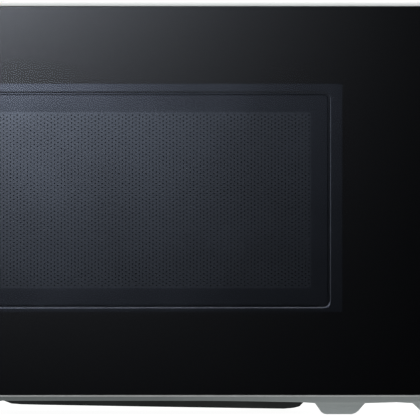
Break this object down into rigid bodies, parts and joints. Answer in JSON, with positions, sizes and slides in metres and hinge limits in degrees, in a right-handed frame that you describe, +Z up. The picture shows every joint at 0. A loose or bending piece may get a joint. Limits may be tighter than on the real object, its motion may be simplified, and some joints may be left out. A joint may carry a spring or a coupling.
{
  "type": "microwave oven",
  "caption": "Countertop microwave oven with a full-height black glass door hinged at the left, a glass control panel, pressed feet and a glass turntable.",
  "frame": {"origin": "on the resting surface, under the middle of the whole oven's bounding box", "axes": "+X to the right as seen from the front, +Y towards the back, +Z up; the door faces -Y"},
  "size_m": [0.44, 0.3582, 0.262],
  "materials": {
    "painted_steel": "silver-grey enamel, semi-gloss",
    "base_steel": "grey enamel",
    "access_cover": "dark grey enamel",
    "zinc_steel": "bare zinc-coated sheet",
    "frame_steel": "grey enamel",
    "cavity_enamel": "light grey cavity enamel",
    "mica": "pressed mica sheet",
    "fin_aluminium": "mill finish",
    "anode_copper": "bare copper",
    "core_steel": "varnished laminations",
    "winding_copper": "enamelled copper wire",
    "capacitor_can": "drawn can",
    "diode_epoxy": "moulded epoxy",
    "fan_plastic": "moulded, dark grey",
    "motor_steel": "laminations",
    "blade_plastic": "moulded, off-white",
    "lamp_glass": "clear bulb",
    "lamp_ceramic": "glazed ceramic look",
    "circuit_board": "green laminate",
    "natural_plastic": "natural moulding",
    "switch_plastic": "moulded, black",
    "black_plastic": "moulded, black",
    "black_glass": "tinted glass with a black printed back",
    "door_glass": "tinted glass, printed black round the window",
    "display_glass": "dark display window",
    "foot_rubber": "moulded rubber",
    "screw_steel": "zinc-plated screws",
    "spring_steel": "drawn wire",
    "screen_steel": "dark grey enamel",
    "choke_plastic": "moulded, black",
    "inner_film": "clear inner pane",
    "key_metal": "satin anodised look",
    "tray_glass": "clear tempered glass"
  },
  "bodies": {
    "cabinet": {"base_plate": "base_steel", "motor_access_cover": "access_cover", "outer_cover": "painted_steel", "rear_panel": "zinc_steel", "front_frame": "frame_steel", "cavity_wrap": "cavity_enamel", "cavity_floor": "cavity_enamel", "cavity_rear_wall": "cavity_enamel", "waveguide": "zinc_steel", "waveguide_cover": "mica", "magnetron_yoke": "zinc_steel", "magnetron_fins": "fin_aluminium", "magnetron_tube": "anode_copper", "filter_box": "zinc_steel", "transformer_core": "core_steel", "transformer_windings": "winding_copper", "hv_capacitor": "capacitor_can", "capacitor_clamp": "zinc_steel", "hv_diode": "diode_epoxy", "fan_shroud": "fan_plastic", "fan_motor": "motor_steel", "oven_lamp": "lamp_glass", "lamp_holder": "lamp_ceramic", "thermal_cutouts": "lamp_ceramic", "noise_filter_board": "circuit_board", "turntable_motor": "zinc_steel", "interlock_bracket": "natural_plastic", "door_switches": "switch_plastic", "control_housing": "black_plastic", "control_glass": "black_glass", "display_module": "display_glass", "control_board": "circuit_board", "cord_inlet": "switch_plastic", "rear_feet": "foot_rubber", "cover_screws": "screw_steel", "upper_hinge": "zinc_steel", "lower_hinge": "zinc_steel", "release_spring": "spring_steel"},
    "door": {"door_glass": "door_glass", "door_frame": "black_plastic", "door_screen": "screen_steel", "choke_cover": "choke_plastic", "inner_pane": "inner_film", "latch_spring": "spring_steel"},
    "latch": {"latch_hooks": "natural_plastic"},
    "door_button": {"release_button": "black_plastic"},
    "lever": {"release_lever": "natural_plastic"},
    "dial": {"dial": "key_metal"},
    "power_key": {"key_power": "key_metal"},
    "clock_key": {"key_clock": "key_metal"},
    "stop_key": {"key_stop": "key_metal"},
    "start_key": {"key_start": "key_metal"},
    "coupler": {"drive_coupler": "natural_plastic"},
    "tray": {"glass_tray": "tray_glass"},
    "ring": {"roller_ring": "natural_plastic"},
    "roller_a": {"roller_1": "natural_plastic"},
    "roller_b": {"roller_2": "natural_plastic"},
    "roller_c": {"roller_3": "natural_plastic"},
    "fan": {"fan_blade": "blade_plastic"}
  },
  "joints": [
    {"name": "door_hinge", "type": "hinge", "parent": "cabinet", "child": "door", "pos_m": [-0.214, -0.1451, 0.13], "axis": [0, 0, -1], "range_deg": [0, 105]},
    {"name": "release_push", "type": "slide", "parent": "cabinet", "child": "door_button", "axis": [0, 1, 0], "range_m": [0, 0.005], "stiffness_N_per_m": 500, "springref_m": -0.003, "deforming": ["release_spring"]},
    {"name": "lever_tilt", "type": "hinge", "parent": "cabinet", "child": "lever", "pos_m": [0.153, -0.1269, 0.061], "axis": [1, 0, 0], "range_deg": [0, 8.3]},
    {"name": "latch_lift", "type": "slide", "parent": "door", "child": "latch", "axis": [0, 0, 1], "range_m": [0, 0.0027], "stiffness_N_per_m": 200, "springref_m": -0.003, "deforming": ["latch_spring"]},
    {"name": "dial_turn", "type": "hinge", "parent": "cabinet", "child": "dial", "pos_m": [0.179, -0.1681, 0.11645], "axis": [0, -1, 0], "continuous": true},
    {"name": "power_press", "type": "slide", "parent": "cabinet", "child": "power_key", "axis": [0, 1, 0], "range_m": [0, 0.001], "stiffness_N_per_m": 600, "springref_m": -0.0005},
    {"name": "clock_press", "type": "slide", "parent": "cabinet", "child": "clock_key", "axis": [0, 1, 0], "range_m": [0, 0.001], "stiffness_N_per_m": 600, "springref_m": -0.0005},
    {"name": "stop_press", "type": "slide", "parent": "cabinet", "child": "stop_key", "axis": [0, 1, 0], "range_m": [0, 0.001], "stiffness_N_per_m": 600, "springref_m": -0.0005},
    {"name": "start_press", "type": "slide", "parent": "cabinet", "child": "start_key", "axis": [0, 1, 0], "range_m": [0, 0.001], "stiffness_N_per_m": 600, "springref_m": -0.0005},
    {"name": "tray_drive", "type": "hinge", "parent": "cabinet", "child": "coupler", "pos_m": [-0.035, 0.0119, 0.0408], "axis": [0, 0, 1], "continuous": true},
    {"name": "tray_lift", "type": "slide", "parent": "coupler", "child": "tray", "axis": [0, 0, 1], "range_m": [0, 0.05]},
    {"name": "ring_spin", "type": "hinge", "parent": "cabinet", "child": "ring", "pos_m": [-0.035, 0.0119, 0.0336], "axis": [0, 0, 1], "continuous": true},
    {"name": "roller_a_spin", "type": "hinge", "parent": "ring", "child": "roller_a", "pos_m": [-0.035, 0.0999, 0.0336], "axis": [0, 1, 0], "continuous": true},
    {"name": "roller_b_spin", "type": "hinge", "parent": "ring", "child": "roller_b", "pos_m": [-0.11121, -0.0321, 0.0336], "axis": [-0.866, -0.5, 0], "continuous": true},
    {"name": "roller_c_spin", "type": "hinge", "parent": "ring", "child": "roller_c", "pos_m": [0.04121, -0.0321, 0.0336], "axis": [0.866, -0.5, 0], "continuous": true},
    {"name": "fan_spin", "type": "hinge", "parent": "cabinet", "child": "fan", "pos_m": [0.169, 0.1591, 0.172], "axis": [0, 1, 0], "continuous": true}
  ],
  "couplings": [
    {"joint": "lever_tilt", "follows": "release_push", "rad_per_m": 28.571},
    {"joint": "latch_lift", "follows": "release_push", "ratio": 0.52},
    {"joint": "ring_spin", "follows": "tray_drive", "ratio": 0.5},
    {"joint": "roller_a_spin", "follows": "tray_drive", "ratio": -6.2857},
    {"joint": "roller_b_spin", "follows": "tray_drive", "ratio": -6.2857},
    {"joint": "roller_c_spin", "follows": "tray_drive", "ratio": -6.2857}
  ]
}
